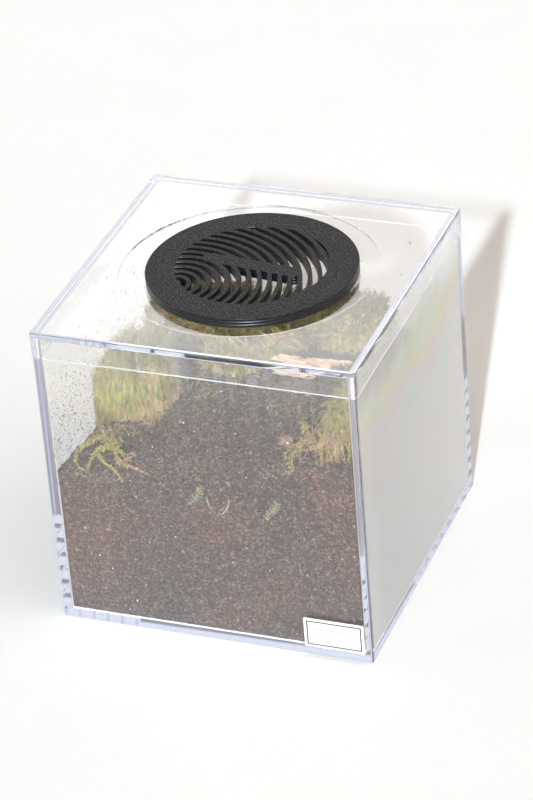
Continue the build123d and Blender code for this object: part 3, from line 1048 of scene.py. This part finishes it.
LID_PLATE = 1.9 * mm
HOLE_MIDDLE, HOLE_REACH = (1.6 * mm, -1.4 * mm), 27 * mm
under_lid = lid_high.z - LID_PLATE - 0.02 * mm
forms = []
while len(forms) < 170:
    x, y = rng.uniform(-inside, inside, 2)
    if rng.random() > 0.25 + 0.75 * (x < -10 * mm):
        continue
    if (x - HOLE_MIDDLE[0]) ** 2 + (y - HOLE_MIDDLE[1]) ** 2 < HOLE_REACH**2:
        continue
    forms += speckle(1, lambda: (x, y, under_lid), (0, 0, -1.0), 2.0, 0.16)
points, faces = together(forms)
piece("lid_specks", points, faces, speck_colours, "lid", smooth=False)


def panel(name, corners, material, body="box"):
    """A flat film over a wall's inner face."""
    piece(name, np.array(corners), np.array([[0, 1, 2, 3]]), material, body, smooth=False)


w = inner_wall - 0.015 * mm
z0, z1 = 3.2 * mm, 99.4 * mm  # the height that the films on the walls span
panel("haze_front", [(-w, -w, z0), (w, -w, z0), (w, -w, z1), (-w, -w, z1)], film)
# The right wall's film: haze whose colour holds painted light.
panel("haze_right_and_painted_light", [(w, -w, z0), (w, w, z0), (w, w, z1), (w, -w, z1)], side_film_and_painted_light)
y, z = -w + 0.03 * mm, 70 * mm
panel("front_streaks", [(-w, y, z), (w, y, z), (w, y, z1), (-w, y, z1)], front_streaks)
x, z = -28 * mm, under_lid - 0.02 * mm
panel("haze_lid", [(-w, -w, z), (x, -w, z), (x, w, z), (-w, w, z)], lid_film, "lid")
y, z = -10 * mm, under_lid - 0.04 * mm
panel("lid_streaks", [(-w, -w, z), (w, -w, z), (w, y, z), (-w, y, z)], lid_streaks, "lid")
panel("haze_back", [(w, w, z0), (-w, w, z0), (-w, w, z1), (w, w, z1)], film)

# -------- stage, light and camera

FLOOR_REACH = 3.0
FLOOR_GAP = 0.15 * mm
UNDER_GLOW = 0.5
KEY_STRENGTH = 3.3
KEY_FROM = (0.195, -0.853, 0.468)
SOFT_STRENGTH = 2.0
SOFT_FROM = (-0.327, 0.788, 0.522)
SOFT_AWAY = 1.5

floor_mesh = bpy.data.meshes.new("floor")
corners = [(x * FLOOR_REACH, y * FLOOR_REACH, -FLOOR_GAP) for x, y in ((-1, -1), (1, -1), (1, 1), (-1, 1))]
floor_mesh.from_pydata(corners, [], [(0, 1, 2, 3)])
floor = bpy.data.objects.new("floor", floor_mesh)
scene.collection.objects.link(floor)


def seen_straight(tree, ray):
    """1 for rays that the camera sends, also through or off something clear, and 0 for light that bounces."""
    direct = maths(tree, "MAXIMUM", ray.outputs["Is Camera Ray"], ray.outputs["Is Glossy Ray"])
    direct = maths(tree, "MAXIMUM", direct, ray.outputs["Is Transmission Ray"])
    return times(tree, direct, maths(tree, "LESS_THAN", ray.outputs["Diffuse Depth"], 0.5))


# The floor glows a little under the box, where the lamps reach it least
floor_material, tree, shader = new_material("floor", 1, 0)
paper_white = ramp(tree, noise(tree, 0.05), [(0.3, (0.93, 0.93, 0.93)), (0.7, (0.95, 0.95, 0.95))])
tree.links.new(paper_white, shader.inputs["Base Color"])
shader.inputs["Emission Color"].default_value = (1, 1, 1, 1)
spot = own_axes(tree)
far = maths(tree, "MAXIMUM", maths(tree, "ABSOLUTE", spot["X"]), maths(tree, "ABSOLUTE", spot["Y"]))
glow = times(tree, maths(tree, "LESS_THAN", far, box_high.x - 0.4 * mm), UNDER_GLOW)
straight = seen_straight(tree, node(tree, "ShaderNodeLightPath"))
tree.links.new(times(tree, straight, glow), shader.inputs["Emission Strength"])
floor_mesh.materials.append(floor_material)

# White where it is seen; its light is warm and stronger from the right, and more so through the plastic
world = bpy.data.worlds.new("studio")
scene.world = world
world.use_nodes = True
tree = world.node_tree
ray = node(tree, "ShaderNodeLightPath")
straight = seen_straight(tree, ray)
bounced_through = times(tree, ray.outputs["Is Transmission Ray"], all_but(tree, straight))
from_right = maths(tree, "MAXIMUM", axes(tree, "ShaderNodeTexCoord", "Generated")["X"], 0.0)
sides = blend(tree, from_right, (0.36, 0.32, 0.285), (1.5, 1.36, 1.22))
beside = blend(tree, maths(tree, "POWER", from_right, 3.0), (0, 0, 0), (1.8, 1.7, 1.6))
fill = blend(tree, bounced_through, sides, beside)
tree.links.new(blend(tree, straight, fill, (1, 1, 1)), tree.nodes["Background"].inputs["Color"])


def lamp(name, kind, place, target):
    """A lamp that the camera and what is clear don't show."""
    made = bpy.data.objects.new(name, bpy.data.lights.new(name, kind))
    made.location = place
    made.rotation_euler = (target - place).to_track_quat("-Z", "Y").to_euler()
    scene.collection.objects.link(made)
    made.visible_camera = False
    made.visible_transmission = False
    return made


key = lamp("key", "SUN", Vector(KEY_FROM), Vector((0, 0, 0)))
key.data.energy = KEY_STRENGTH
key.data.angle = radians(1.5)
key.data.color = (0.92, 1.01, 1.08)
above = Vector((0, 0, 0.1))
soft = lamp("soft_box", "AREA", Vector(SOFT_FROM) * SOFT_AWAY + above, above)
soft.data.shape = "RECTANGLE"
soft.data.size, soft.data.size_y = 1.0, 0.6
soft.data.energy = SOFT_STRENGTH * np.pi * soft.data.size * soft.data.size_y
soft.visible_diffuse = False

# The photo's view, from a fit to the cube's corners
camera_data = bpy.data.cameras.new("camera")
camera_data.sensor_width = 36
camera_data.lens = 159.1
camera_data.clip_start = 0.05
camera = bpy.data.objects.new("camera", camera_data)
camera.location = (0.35928, -0.86019, 0.62646)
camera.rotation_euler = (radians(58.423), radians(4.0576), radians(20.062))
scene.collection.objects.link(camera)
scene.camera = camera
scene.view_settings.view_transform = "Standard"
scene.cycles.max_bounces = 64
scene.cycles.transmission_bounces = 64
scene.cycles.glossy_bounces = 64
scene.cycles.transparent_max_bounces = 32
